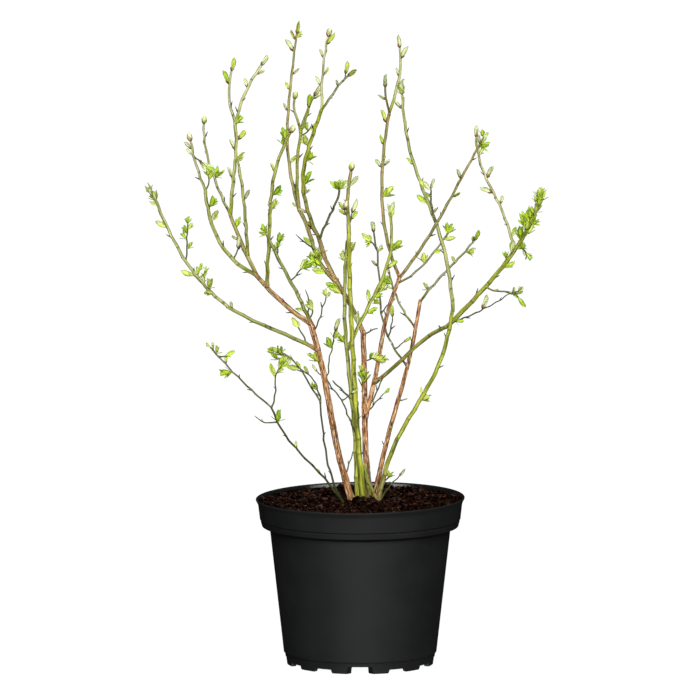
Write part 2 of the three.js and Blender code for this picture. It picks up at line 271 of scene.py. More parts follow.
lip = (rim_radius - lip_radius, pot_height - lip_radius)
inner_wall = [
    (collar_top - 0.5, pot_height - 1.3),
    (collar_top - wall - 0.1, pot_height - 6),
    (collar_foot - wall, collar_z + 1),
    (shoulder - wall, shoulder_z + 1.5),
    (body_foot - wall - 0.4, floor_top + 2.5),
    (body_foot - wall - 3, floor_top),
]
pot_profile = [
    (0, skirt_height),
    (skirt_inside - 1, skirt_height),
    (skirt_inside, skirt_height - 1),
    (skirt_inside, 0.3),
    (skirt_inside + 0.3, 0),
    (skirt_foot - 0.3, 0),
    (skirt_foot, 0.3),
    (skirt_foot + 1.2, skirt_height - 0.8),
    (skirt_foot + 1.4, skirt_height - 0.2),
    (body_foot - 0.3, skirt_height + 0.1),
    (body_foot, skirt_height + 0.7),
    (body_foot + 0.1, skirt_height + 1.6),
    (shoulder, shoulder_z - 1),
    *arc((shoulder + 2, shoulder_z + 0.6), 2, 180, 112, 4),
    (collar_foot - 1.6, collar_z - 0.6),
    *arc((collar_foot - 1, collar_z + 0.6), 1, -60, 0, 3),
    (groove_radius - 0.1, groove_z - 2.4),
    (groove_radius, groove_z - 1.9),
    (groove_radius - 0.9, groove_z - 0.9),
    (groove_radius - 0.8, groove_z - 0.4),
    (groove_radius + 0.9, groove_z + 0.8),
    (groove_radius + 1, groove_z + 1.3),
    (collar_top - 0.5, pot_height - 7.5),
    (collar_top, pot_height - 5.5),
    (rim_radius - 0.6, pot_height - 2.6),
    *arc(lip, lip_radius, -20, 150, 8),
    *inner_wall,
    (0, floor_top),
]


def turned(profile, segments):
    """A bmesh in metres, turned from a profile of (radius, z) in mm about the pot's axis."""
    shape = bmesh.new()
    rim = [shape.verts.new(((axis.x + r) * mm, axis.y * mm, z * mm)) for r, z in profile]
    edges = [shape.edges.new(pair) for pair in zip(rim, rim[1:])]
    bmesh.ops.spin(
        shape, geom=rim + edges, angle=2 * math.pi, steps=segments, use_merge=True,
        axis=(0, 0, 1), cent=axis * mm,
    )
    bmesh.ops.remove_doubles(shape, verts=shape.verts, dist=0.01 * mm)
    bmesh.ops.recalc_face_normals(shape, faces=shape.faces)
    return shape


# The skirt is cut away between the feet. Four of the gaps are higher, as ways out for water, and
# widen outwards.
cutter_shape = bmesh.new()
foot_turn = 2 * math.pi / foot_count
gap_half = skirt_foot * math.sin(foot_turn / 4)
for i in range(foot_count):
    cut_height, narrow, wide = (water_gap, 0.4, 2.1) if i % 3 == 0 else (foot_height, 1, 1)
    outline = [(-gap_half - 1, -1), (gap_half + 1, -1)]
    outline += [(gap_half - 1, cut_height), (1 - gap_half, cut_height)]
    corners = [cutter_shape.verts.new((x * narrow * mm, -cut_start * mm, z * mm)) for x, z in outline]
    face = cutter_shape.faces.new(corners)
    pushed = bmesh.ops.extrude_face_region(cutter_shape, geom=[face])["geom"]
    tips = [v for v in pushed if isinstance(v, bmesh.types.BMVert)]
    bmesh.ops.scale(cutter_shape, verts=tips, vec=(wide / narrow, 1, 1))
    bmesh.ops.translate(cutter_shape, verts=tips, vec=(0, -cut_reach * mm, 0))
    place = Matrix.Translation(axis * mm) @ Matrix.Rotation(i * foot_turn, 4, "Z")
    bmesh.ops.transform(cutter_shape, verts=corners + tips, matrix=place)
for i in range(drain_count):
    angle = (i + 0.5) * 2 * math.pi / drain_count
    centre = axis + Vector((math.cos(angle), math.sin(angle), 0)) * drain_circle
    centre.z = skirt_height
    bmesh.ops.create_cone(
        cutter_shape, cap_ends=True, segments=20, radius1=drain_radius * mm,
        radius2=drain_radius * mm, depth=cut_reach * mm, matrix=Matrix.Translation(centre * mm),
    )
bmesh.ops.recalc_face_normals(cutter_shape, faces=cutter_shape.faces)

black = surface("black_plastic", "121413", 0.7, 0.3)
mottle = black.specks(30, 3)
cut_side_speckle = black.specks(300, 4)
clean = black.mix(mottle.ramp(0.35, 2.5), "111312", "171918")
# The inward cut sides of the feet are coloured paler grey (444543), in speckles.
with_pale_cut_sides = black.mix((black.mark("pale_cut_sides") * (cut_side_speckle + 0.5)).clamped(), clean, "444543")
# A painted reflection: the back of the inner wall is coloured pale grey (868886), where the lamps would
# shine back from it.
with_painted_reflection = black.mix(black.mark("painted_reflection"), with_pale_cut_sides, "868886")
black.set(Base_Color=with_painted_reflection, Roughness=(mottle * 0.1 + 0.65) - black.mark("gloss") * 0.5)
black.bump(black.specks(1400, 2), 0.12, 0.1)
# The upper wall is pulled up all round, and more to the right and to the back.
pull, pull_right, pull_back = 0.6, 1.3, 0.7
# Where the painted reflection on the back of the inner wall starts, and how fast it rises to its full
# share.
reflection_start, reflection_rise = 0.85, 10


def within(value, most=1.0):
    """A number that is kept between 0 and a limit."""
    return min(most, max(0.0, value))


def sag(x, y, z):
    """How far the thin upper wall has been pulled up, in mm, at a place about the pot's axis."""
    rising = within((z - collar_z) / (pot_height - collar_z))
    return rising * (pull + pull_right * x / rim_radius + pull_back * y / rim_radius)


pot_shape = turned(pot_profile, pot_segments)
for vertex in pot_shape.verts:
    x, y, z = vertex.co / mm - axis
    vertex.co.z += sag(x, y, z) * mm
pot = new_piece("nursery_pot", pot_shape, black)
cutter = new_piece("pot_cutter", cutter_shape, black)
cut = pot.modifiers.new("feet and drains", "BOOLEAN")
cut.object = cutter
cut.solver = "EXACT"
cut_mesh = bpy.data.meshes.new_from_object(pot.evaluated_get(bpy.context.evaluated_depsgraph_get()))
pot.modifiers.clear()
pot.data = cut_mesh
bpy.data.objects.remove(cutter)
pot.data.polygons.foreach_set("use_smooth", [True] * len(pot.data.polygons))
pot.data.set_sharp_from_angle(angle=math.radians(34))
# The inside is smoother than the outside, and the back of its wall is given a painted reflection, a pale
# band. The cut sides of the feet are coloured paler, in speckles.
marks = [pot.data.attributes.new(name, "FLOAT", "CORNER") for name in ("gloss", "pale_cut_sides", "painted_reflection")]
for face in pot.data.polygons:
    across, z = (face.center / mm - axis).to_2d(), face.center.z / mm
    outward = across.normalized()
    inward = outward.dot(face.normal.to_2d()) < 0.3
    inside = z > collar_z and across.length < collar_top - 0.5 and inward
    # The cut sides of the feet, which are coloured paler.
    cut_side = z < water_gap and inward and across.length < skirt_foot - 0.4
    # The painted reflection's share rises towards the back of the inner wall.
    back = within((outward.y - reflection_start) * reflection_rise)
    for mark, share in zip(marks, (inside, cut_side, inside * back)):
        for corner in face.loop_indices:
            mark.data[corner].value = share
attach(pot, "root")
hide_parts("pot")

# ---------------------------------------------------------------- compost
# Moist dark peat and bark, heaped a little towards the stems and lumpy on top. It fills the pot to
# just below the rim, with crumbs, chips of bark and pale fibres lying on it.
compost_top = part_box("compost")[1].z / mm
compost_radius = collar_top - wall - 0.3
ring_count = 64
mound_height, mound_reach = 3, 42
fill_over = 1.6  # how far the fill stands over its level
edge_reach = 6  # how far in from the wall it lies flatter


def lumps(x, y):
    """Height of the compost over its level, in mm, at a place about the pot's axis."""

    def ripple(height, width, seed):
        return height * noise.noise(Vector((x / width, y / width, seed)))

    away = math.hypot(x, y)
    mound = mound_height * math.exp(-((away / mound_reach) ** 2)) + fill_over + sag(x, y, pot_height)
    clods = ripple(3.0, 24, 1.7) + ripple(3.4, 9, 8.1)
    edge = within((compost_radius - away) / edge_reach)
    return mound + clods * (0.4 + 0.6 * edge) + ripple(1.3, 3.6, 4.4)


compost_profile = [(compost_radius * i / ring_count, compost_top) for i in range(ring_count + 1)]
compost_profile += [(r - 0.1, z) for r, z in inner_wall[2:]]
compost_profile += [(0, floor_top + 0.1)]
compost_shape = turned(compost_profile, 200)
for vertex in compost_shape.verts:
    if abs(vertex.co.z / mm - compost_top) < 0.01:
        x, y = vertex.co.x / mm - axis.x, vertex.co.y / mm - axis.y
        vertex.co.z += lumps(x, y) * mm

peat = surface("moist_compost", "1a0f0b", 0.9, 0.0)
patches = peat.specks(170, 6, 0.7)
flecks = peat.node("TexVoronoi", {"Vector": peat.place(), "Scale": 420})
soil_colour = peat.mix(patches.ramp(0.49, 5), "020101", "2c180f")
soil_colour = peat.mix(flecks.ramp(0.55, 3) * 0.4, soil_colour, "4c2f22")
peat.set(Base_Color=soil_colour)
peat.bump(patches, 0.8, 1.2)
compost = new_piece("compost_fill", compost_shape, peat)
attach(compost, "root")
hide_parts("compost")


class Shape:
    """A small template: its points in mm, how dark each is from 0 to 1, and its faces."""

    def __init__(self, mesh):
        bmesh.ops.recalc_face_normals(mesh, faces=mesh.faces)
        mesh.verts.index_update()
        dark = mesh.verts.layers.float.get("scar")
        self.points = np.array([v.co[:] for v in mesh.verts])
        self.darkness = [v[dark] if dark else 0.0 for v in mesh.verts]
        self.faces = [[v.index for v in f.verts] for f in mesh.faces]
        mesh.free()


class Heap:
    """Many placed copies of small templates, joined into one mesh."""

    def __init__(self):
        self.points = []
        self.darkness = []
        self.faces = []
        self.count = 0

    def add(self, shape, matrix):
        turn = np.array(matrix)
        self.points.append(shape.points @ turn[:3, :3].T + turn[:3, 3])
        self.darkness += shape.darkness
        self.faces += [[i + self.count for i in face] for face in shape.faces]
        self.count += len(shape.points)

    def piece(self, name, finish, slot, smooth=True):
        """The whole heap as one piece of the model."""
        mesh = bpy.data.meshes.new(name)
        mesh.from_pydata(np.concatenate(self.points) * mm, [], self.faces)
        mesh.attributes.new("scar", "FLOAT", "POINT").data.foreach_set("value", self.darkness)
        piece = show(name, mesh, finish, smooth)
        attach(piece, "root")
        return piece


def pebble(seed, flat):
    """A rough crumb about 1 mm across."""
    mesh = bmesh.new()
    bmesh.ops.create_icosphere(mesh, subdivisions=1, radius=0.5)
    for vertex in mesh.verts:
        vertex.co *= 1 + 0.45 * noise.noise(vertex.co * 3 + Vector((seed, 0, 0)))
        vertex.co.z *= flat
    return Shape(mesh)


def chip(seed):
    """A flake of bark about 1 mm long."""
    mesh = bmesh.new()
    bmesh.ops.create_cube(mesh, size=1)
    bmesh.ops.subdivide_edges(mesh, edges=mesh.edges, cuts=1)
    for vertex in mesh.verts:
        vertex.co.y *= 0.5
        vertex.co.z *= 0.2
        vertex.co += 0.16 * noise.noise_vector(vertex.co * 2.3 + Vector((0, seed, 0)))
    return Shape(mesh)


def bent_sheet(columns, rows, bend):
    """A template from a square sheet: bend gives the point and the darkness for a place on it."""
    mesh = bmesh.new()
    bmesh.ops.create_grid(mesh, x_segments=columns, y_segments=rows, size=0.5)
    dark = mesh.verts.layers.float.new("scar")
    for vertex in mesh.verts:
        vertex.co, vertex[dark] = bend(vertex.co.x, vertex.co.y)
    bmesh.ops.remove_doubles(mesh, verts=mesh.verts, dist=1e-4)
    return Shape(mesh)


def thread(seed):
    """A fibre 1 mm long and as thin as a hair, which scales with its length."""

    def bend(x, along):
        turn = (x + 0.5) * 2 * math.pi
        sway = noise.noise_vector(Vector((along * 2.5, seed, 0.3)))
        thin = 0.022 * (1 - 0.6 * abs(along))
        return (along, sway.y * 0.3 + thin * math.cos(turn), sway.z * 0.12 + thin * math.sin(turn)), 0

    return bent_sheet(4, 6, bend)


def strewn(heap, shapes, count, sizes, lift, dice):
    """Copies lying at random over the compost, lifted by a share of their size, and turned anyhow."""
    for _ in range(count):
        away = (compost_radius - 3) * math.sqrt(dice.random())
        turn = dice.uniform(0, 2 * math.pi)
        x, y = away * math.cos(turn), away * math.sin(turn)
        size = dice.uniform(*sizes) * dice.uniform(0.7, 1)
        z = compost_top + lumps(x, y) + size * lift
        tilt = Matrix.Rotation(dice.gauss(0, 0.35), 4, "X") @ Matrix.Rotation(dice.gauss(0, 0.35), 4, "Y")
        spin = Matrix.Rotation(dice.uniform(0, 2 * math.pi), 4, "Z")
        spot = Matrix.Translation((axis.x + x, axis.y + y, z))
        heap.add(dice.choice(shapes), spot @ tilt @ spin @ Matrix.Scale(size, 4))


# Each heap has its templates, their count, their sizes in mm and how far they are lifted.
noise.seed_set(3)
dice = random.Random(3)
crumbs, chips, flakes, fibres = Heap(), Heap(), Heap(), Heap()
strewn(crumbs, [pebble(s, 0.75) for s in range(4)], 2200, (0.9, 3.8), 0.12, dice)
strewn(chips, [chip(s) for s in range(4)], 420, (3, 10), 0.08, dice)
strewn(flakes, [chip(s) for s in range(4, 7)], 34, (1.2, 3.4), 0.2, dice)
strewn(fibres, [thread(s) for s in range(5)], 150, (6, 16), 0.03, dice)

crumb_finish = surface("peat_crumbs", "1d110c", 0.92, 0.0)
tone = crumb_finish.specks(260, 3)
crumb_finish.set(Base_Color=crumb_finish.mix(tone.ramp(0.5, 5), "030201", "3a1f12"))
chip_finish = surface("bark_chips", "5c3827", 0.85, 0.15)
tone = chip_finish.specks(300, 4, 0.6)
chip_finish.set(Base_Color=chip_finish.mix(tone.ramp(0.48, 5), "060302", "5e382a"))
chip_finish.bump(tone, 0.5, 0.4)
crumbs.piece("compost_crumbs", crumb_finish, "compost", smooth=False)
chips.piece("compost_chips", chip_finish, "compost", smooth=False)
flakes.piece("compost_flakes", surface("pale_flakes", "7c5c46", 0.8, 0.2), "compost", smooth=False)
fibres.piece("compost_fibres", surface("pale_fibres", "4f3424", 0.8, 0.2), "compost")

# ---------------------------------------------------------------- limbs
# Canes, boughs and shoots of the bush. The oldest are brown with bark that peels in fine strips,
# the young ones smooth and green, each with a swelling and a dark leaf scar at every node.
# For each limb: what carries it, and what it bears. A mark is a kind, a side and the percent of the
# limb's length: b bud, B long bud, t tuft, T large tuft, l leaf, L long leaf, s dead spur and k
# twiglet; < is to the left and > to the right. A mark after ^ is what its tip ends in: p is a plump
# bud. A limb without one goes over into the limbs it carries.
plant = {
    "left_cane": (None, "T<79"),
    "thin_left_cane": (None, "s<34 s>70"),
    "lowest_left_cane": (None, "s>30 l>62 s<74 T>86"),
    "left_green_cane": (None, "T<62 T<92 t>97"),
    "right_green_cane": (None, "s>85 b>90 s<72"),
    "middle_cane": (None, "s<30"),
    "right_cane": (None, "s<30 s<80"),
    "arching_cane": (None, "T>55 l<57 s>72 s<86"),
    "left_bough": ("left_cane", "s<35 s>52"),
    "outer_left_bough": ("left_bough", "s<12 s>45 L>70 T>83"),
    "outer_left_shoot": ("outer_left_bough", "s<25 l<64 b<73 ^p"),
    "forked_left_bough": ("left_bough", "s<45 b<62 T>79"),
    "high_left_bough": ("forked_left_bough", "s>22 b<42 t>59 b>61 b<71 B>81 T>97"),
    "high_left_shoot": ("high_left_bough", "s>30 B<62 ^B"),
    "high_left_side_shoot": ("high_left_bough", "s<18 s>34 b<51 b>72 ^B"),
    "inner_left_shoot": ("forked_left_bough", "s>18 T>41 s<64 s>80 ^p"),
    "left_crossing_shoot": ("forked_left_bough", "s<30 B>59 ^b"),
    "left_upright": ("left_bough", "s<14 s>28 T>47 T>56 b<70 t<86 T<90 ^p"),
    "slanting_left_shoot": ("left_cane", "l<17 s>30 s<58 t<96 ^T"),
    "low_left_bough": ("left_cane", "s>52 s<70 b>94"),
    "low_left_shoot": ("low_left_bough", "t<17 T>20 t>26 L<34 s>38 L<73 s<66 l<90 ^T"),
    "thin_left_shoot": ("thin_left_cane", "t>24 s<50 L<84 t>90 ^L"),
    "lowest_left_shoot": ("lowest_left_cane", "s<30 s>50 T<58 b>70 t>84 l>90 ^l"),
    "green_tip_shoot": ("right_green_cane", "L>63 s<40 ^p"),
    "middle_bough": ("middle_cane", "s>20 L<45 T<52 s<70"),
    "crown_bough": ("middle_bough", "L<17 T<32 T>38 L<51 s>70"),
    "tallest_shoot": ("crown_bough", "l<3 s>14 l>26 b<53 b<64 b>72 B<84 b<90 t>91 ^B"),
    "crown_shoot": ("crown_bough", "s<20 s>42 b>88 ^B"),
    "crown_side_shoot": ("crown_shoot", "s<50 ^p"),
    "olive_bough": ("middle_bough", "s<30 b<60 t>91"),
    "olive_shoot": ("olive_bough", "T>12 T>38 s>50 T<55 s<75"),
    "olive_top_shoot": ("olive_shoot", "b<31 b>44 b<64 B>80 ^p"),
    "olive_side_shoot": ("olive_shoot", "s>30 b<58 ^B"),
    "leaning_shoot": ("middle_bough", "s>30 s<55 T<90 ^T"),
    "inner_right_cane": ("middle_cane", "s>40 s<72"),
    "tall_right_bough": ("inner_right_cane", "t>18 s<34 T>50 b<67 b>68 b<80 B<93"),
    "tall_right_shoot": ("tall_right_bough", "b>39 b<49 B>71 ^B"),
    "tall_right_side_shoot": ("tall_right_bough", "b<42 ^B"),
    "right_bough": ("inner_right_cane", "s<20 s>34 s<48 b>61 b<73 s>86 T>95 b<97"),
    "right_leafy_shoot": ("inner_right_cane", "s>20 T<44 l>60 L>81 L<94 ^T"),
    "right_cane_shoot": ("right_cane", "t<18 s>40 l<59 T>74 b<88 ^B"),
    "inward_shoot": ("right_cane", "s<24 l<68 T<75 ^b"),
    "centre_back_shoot": ("right_cane", "k>14 t<45 T>53 s>60 b<70 t>79 ^B"),
    "green_right_shoot": ("left_green_cane", "T<18 T>27 L<34 t>39 s>44 B>59 T>71 l>92 L>95 ^t"),
    "low_right_bough": ("inner_right_cane", "s>30 s<55 l<90"),
    "far_right_bough": ("low_right_bough", "t>8 s<30 s>46 T>53 t<59 L<64 T>68 T<74 t<78 T<84 t>86 t<92 ^T"),
    "far_right_shoot": ("far_right_bough", "L>11 s<20 b>37 B<47 B>59 s<62 t>78 ^B"),
    "far_right_twig": ("far_right_bough", "s<50 ^b"),
    "arching_bough": ("arching_cane", "s>14 s<26 L<48 s>58 b<66 s>80 b<90 ^T"),
    "arching_twig": ("arching_bough", "b>34 l<90"),
}
up = Vector((0, 0, 1))


class Spine:
    """The middle line of a limb or twig, smooth through a few points, with its radii. It is in mm and
    has a point at about every mm."""

    def __init__(self, points, radii):
        ends = [2 * points[0] - points[1], *points, 2 * points[-1] - points[-2]]
        line, sizes = [points[0]], [radii[0]]
        for i in range(1, len(ends) - 2):
            a, b, c, d = ends[i - 1 : i + 3]
            count = max(1, round((c - b).length))
            for j in range(1, count + 1):
                t = j / count
                curve = 2 * b + (c - a) * t + (2 * a - 5 * b + 4 * c - d) * t * t
                line.append((curve + (3 * b - a - 3 * c + d) * t**3) / 2)
                sizes.append(radii[i - 1] + (radii[i] - radii[i - 1]) * t)
        self.line = line
        self.sizes = sizes
        self.reach = [0.0]
        for a, b in zip(line, line[1:]):
            self.reach.append(self.reach[-1] + (b - a).length)
        self.length = self.reach[-1]

    def at(self, along):
        """The point, heading and radius at a length from the foot."""
        i = min(int(np.searchsorted(self.reach, along, side="right")), len(self.line) - 1)
        i = max(i, 1)
        t = (along - self.reach[i - 1]) / max(self.reach[i] - self.reach[i - 1], 1e-9)
        point = self.line[i - 1].lerp(self.line[i], t)
        heading = (self.line[min(i + 1, len(self.line) - 1)] - self.line[max(i - 2, 0)]).normalized()
        return point, heading, self.sizes[i - 1] + (self.sizes[i] - self.sizes[i - 1]) * min(t, 1)

    def cut(self, room):
        """Ends the line short of its tip, to leave room for the bud or leaves on it."""
        while self.reach[-1] > self.length - room:
            for values in (self.line, self.sizes, self.reach):
                values.pop()
        self.length = self.reach[-1]

    def kink(self, stops, depth, dice):
        """Moves the line to and fro between nodes, as a shoot turns a little at every leaf."""
        sides = [(-1) ** i * dice.uniform(0.5, 1) * depth for i in range(len(stops))]
        backs = [dice.uniform(-1, 1) * depth for _ in stops]
        marks = [0, *stops, self.length]
        for i, along in enumerate(self.reach):
            shift = [np.interp(along, marks, [0, *values, 0]) for values in (sides, backs)]
            self.line[i] = self.line[i] + Vector((*shift, 0))


bark_girth = 1.07  # the bark stands a little proud of the limb's solid
solid_sides = 6  # each limb's solid is a tube of this many sides


def frame_rings(node):
    """Ring centres and radii of a limb of the frame, in mm from its foot to its tip."""
    mesh = bmesh.new()
    mesh.from_mesh(frame["nodes"][node].data)
    bmesh.ops.remove_doubles(mesh, verts=mesh.verts, dist=0.02 * mm)
    mesh.verts.index_update()

    def unevenness(vertex):
        reach = [edge.calc_length() for edge in vertex.link_edges]
        return (max(reach) - min(reach)) / max(reach) if len(reach) == solid_sides else math.inf

    apex = min(mesh.verts, key=unevenness)
    centres, radii = [apex.co / mm], [0.0]
    ring, seen_verts = [apex], {apex}
    while True:
        ring = {edge.other_vert(v) for v in ring for edge in v.link_edges} - seen_verts
        if len(ring) != solid_sides:
            break
        seen_verts |= ring
        corners = [v.co / mm for v in sorted(ring, key=lambda v: v.index)]
        centre = sum(corners, Vector()) / solid_sides
        centres.append(centre)
        radii.append(sum((corner - centre).length for corner in corners) / solid_sides)
    rest = [v.co / mm for v in mesh.verts if v not in seen_verts]
    if rest:
        centres.append(sum(rest, Vector()) / len(rest))
        radii.append(radii[-1])
    mesh.free()
    radii[0] = radii[1]
    return centres[::-1], [radius * bark_girth for radius in radii[::-1]]


def fork_point(foot, heading, parent):
    """The length along the parent that the line through a limb's foot points back to. The further
    back that line has to go, the less a place counts."""

    def miss(i):
        gap = parent.line[i] - foot
        back = max(0.0, -gap.dot(heading))
        return (gap + heading * back).length + 0.15 * back

    return parent.reach[min(range(len(parent.line)), key=miss)]


cane_depth = 7
spines = {}
for limb, (carrier, _) in plant.items():
    centres, radii = frame_rings(limb)
    heading = (centres[1] - centres[0]).normalized()
    if carrier is None:
        # A cane goes on a little way down into the compost.
        centres.insert(0, centres[0] - heading * cane_depth)
        radii.insert(0, radii[0])
    else:
        parent = spines[carrier]
        fork = fork_point(centres[0], heading, parent)
        point, along, radius = parent.at(fork)
        centres[0] = point
        if fork > 0.9 * parent.length:
            # It goes on from the parent's end, and bends out of it.
            centres.insert(0, parent.at(fork - 1.6 * radius)[0])
            radii.insert(0, radii[0])
    spines[limb] = Spine(centres, radii)

slots = {part["node"]: part["material_slot"] for part in frame["record"]["subparts"]}
full_lengths = {limb: spine.length for limb, spine in spines.items()}
node_spacing = (11, 18)
plain_kinds = "...v"  # between marks: a bare scar, or one time in four a small bud
node_gap = 6  # a plain node keeps this far from one that bears something
kink_depth = 0.7
# How much of its tip a limb leaves to the bud or tuft that ends it.
tip_room = {"p": 10, "B": 14, "b": 9, "t": 7, "T": 11, "l": 6, "L": 11, "v": 3, "s": 0, ".": 0}


def marks_of(bears):
    """The (kind, side, share of the length) of each mark, and what the tip ends in."""
    marks, tip = [], None
    for mark in bears.split():
        if mark[0] == "^":
            tip = mark[1]
        else:
            marks.append((mark[0], -1 if mark[1] == "<" else 1, int(mark[2:]) / 100))
    return marks, tip


class Node:
    """A place on a limb where a leaf grew: how far along, what it bears now and which way."""

    def __init__(self, spine, along, kind, side, dice):
        self.along = along
        self.kind = kind
        self.point, self.heading, self.radius = spine.at(along)
        depth = dice.uniform(-0.6, 0.6) if side else dice.choice((-1, 1))
        aim = Vector((side or dice.uniform(-0.6, 0.6), depth, 0.1))
        self.out = (aim - self.heading * aim.dot(self.heading)).normalized()


def nodes_along(spine, full_length, marks, depth, dice):
    """The nodes of a limb: those that bear something, and scars or small buds between them."""
    end = spine.length - 2
    places = [(min(share * full_length, end), kind, side) for kind, side, share in marks]
    along = dice.uniform(*node_spacing)
    while along < end - 4:
        if all(abs(place[0] - along) > node_gap for place in places):
            places.append((along, dice.choice(plain_kinds), 0))
        along += dice.uniform(*node_spacing)
    places.sort()
    spine.kink([place[0] for place in places], depth, dice)
    return [Node(spine, along, kind, side, dice) for along, kind, side in places]


def skin(spine, nodes, seed, sides, pitch, relief, ages=(0, 0, 1), painted_shade_and_dirt=0, foot_dirt_and_shade=0,
         foot_swell=0.6, foot_reach=1.6):
    """A closed tube of bark round a spine, with its relief, and where its pattern falls. The ages are
    the one at its foot, the one further on, and how far on the first goes over to the second."""
    youth = 1 - min(1.0, 1.2 * ages[1])
    swelling, scarring = 0.05 + 0.23 * youth, 0.5 + 0.5 * youth
    node_reach, crack_width, dirt_and_shade_reach = 4, 0.12, 16
    tube = bmesh.new()
    rings = max(4, round(spine.length / pitch))
    bmesh.ops.create_grid(tube, x_segments=sides, y_segments=rings, size=0.5)
    grain = tube.verts.layers.float_vector.new("grain")
    aged, scarred, shade_and_dirt_layer = [tube.verts.layers.float.new(name) for name in ("age", "scar", "painted_shade_and_dirt")]
    centres = []
    across = Vector((1, 0, 0))
    for i in range(rings + 1):
        along = spine.length * i / rings
        point, heading, radius = spine.at(along)
        across = (across - heading * across.dot(heading)).normalized()
        radius *= 1 + foot_swell * math.exp(-((along / foot_reach) ** 2))
        left = spine.length - along
        if left < radius:
            radius *= max(0.05, 1 - (1 - left / radius) ** 2) ** 0.5
        near = [node for node in nodes if abs(node.along - along) < node_reach]
        centres.append((along, point, across.copy(), heading.cross(across), radius, near))
    for vertex in tube.verts:
        turn = (vertex.co.x + 0.5) * 2 * math.pi
        along, point, side, back, radius, near = centres[round((vertex.co.y + 0.5) * rings)]
        outward = side * math.cos(turn) + back * math.sin(turn)
        strips = noise.noise(Vector((outward.x * 2.3, outward.y * 2.3, along * 0.07 + seed)))
        fine = noise.noise(Vector((outward.x * 5, outward.y * 5, along * 0.35 - seed)))
        crack = max(0.0, crack_width - abs(strips)) / crack_width
        swell, scar = 0.0, 0.0
        for node in near:
            off = along - node.along
            facing = outward.dot(node.out)
            swell += swelling * math.exp(-((off / 1.5) ** 2)) * (0.2 + 0.8 * facing)
            mark = math.exp(-(((off + 0.4) / 0.9) ** 2)) * within(2 * facing - 0.7)
            scar = max(scar, mark * scarring)
        height = relief * (0.5 * strips + 0.3 * fine - 0.5 * crack)
        # Dirt, and painted shade low down by the compost, darken a cane towards its foot.
        dirt_and_shade_here = foot_dirt_and_shade * math.exp(-((along / dirt_and_shade_reach) ** 2))
        vertex.co = point + outward * radius * (1 + height + swell)
        vertex[grain] = (math.cos(turn) * radius, math.sin(turn) * radius, along + seed * 100)
        vertex[aged] = ages[0] + (ages[1] - ages[0]) * min(1, along / ages[2])
        vertex[scarred] = scar
        # Painted shade on the limb, plus dirt with painted shade at a cane's foot, both darken the bark.
        vertex[shade_and_dirt_layer] = painted_shade_and_dirt * min(1.0, 0.5 + along / 30) + dirt_and_shade_here
    bmesh.ops.remove_doubles(tube, verts=tube.verts, dist=1e-4)
    bmesh.ops.holes_fill(tube, edges=[edge for edge in tube.edges if edge.is_boundary])
    bmesh.ops.recalc_face_normals(tube, faces=tube.faces)
    return tube


def bark(name, roughness, bump_depth):
    """Bark by its age: pale green and smooth, then a deep green, then brown and peeling in strips."""
    finish = surface(name, "8a9648", roughness, 0.35)
    grown = finish.mark("grain", output=1)
    age = finish.mark("age")
    strips = finish.node("Mapping", {"Vector": grown, "Scale": (1.0, 1.0, 0.07)})
    streaks = finish.specks(0.6, 5, 0.62, strips)
    threads = finish.specks(1.5, 3, place=strips)
    patches = finish.specks(0.09, 3, place=grown)
    streak = streaks.ramp(0.38, 4)
    pale = finish.mix(streak, "80844f", "d4d4a2")
    deep = finish.mix(streak, "5e660a", "bec640")
    weathered = finish.mix(streak, "665d3a", "b0a67e")
    young = finish.mix((age * 3).clamped(), pale, deep)
    young = finish.mix(age.ramp(0.38, 8) * 0.6, young, weathered)
    old = finish.mix(streaks.ramp(0.42, 6.5), "44210c", "bb7f48")
    old = finish.mix(threads.ramp(0.54, 12), old, "f2d0a2")
    old = finish.mix(threads.ramp(0.45, -9), old, "30180c")
    old = finish.mix(patches.ramp(0.5, 3) * 0.35, old, "8a4a30")
    turning = (age + (streaks - 0.5) * 1.2 + (patches - 0.5) * 1.2).ramp(0.5, 3)
    colour = finish.mix(turning, young, old)
    # Painted shade, with dirt at the feet of canes, darkens the bark towards 2e3417.
    colour = finish.mix(finish.mark("painted_shade_and_dirt"), colour, "2e3417")
    finish.set(Base_Color=finish.mix(finish.mark("scar") * 0.9, colour, "33261a"))
    finish.bump(streaks * 0.6 + threads * 0.4, 0.7, bump_depth)
    return finish


barks = {
    "brown_bark": bark("peeling_brown_bark", 0.72, 0.5),
    "olive_bark": bark("turning_olive_bark", 0.62, 0.25),
    "green_bark": bark("smooth_green_bark", 0.5, 0.12),
}
# The sides, the pitch of the rings in mm and the relief of each bark.
skins = {"brown_bark": (26, 1.1, 0.24), "olive_bark": (16, 1.3, 0.14), "green_bark": (14, 1.4, 0.08)}
slot_ages = {"brown_bark": 1.0, "olive_bark": 0.5}
own_ages = {
    "left_bough": 0.76, "middle_bough": 0.62, "crown_bough": 0.52, "left_crossing_shoot": 0.18,
    "low_right_bough": 0.44, "far_right_bough": 0.36, "left_upright": 0.24, "arching_cane": 0.32,
    "green_right_shoot": 0.3, "olive_bough": 0.46, "olive_shoot": 0.36, "crown_shoot": 0.42,
    "tall_right_bough": 0.56, "green_tip_shoot": 0.5,
}
# Green canes that are already brown at their feet.
foot_ages = {"arching_cane": 0.62, "left_green_cane": 0.42}
# How far up a cane, and a limb on a carrier, goes over from the age at its foot to its own.
cane_turn, fork_turn = 80, 25
# How strongly dirt from the compost, with painted shade low down by the compost, darkens the foot of a
# cane.
cane_dirt_and_shade = 0.7
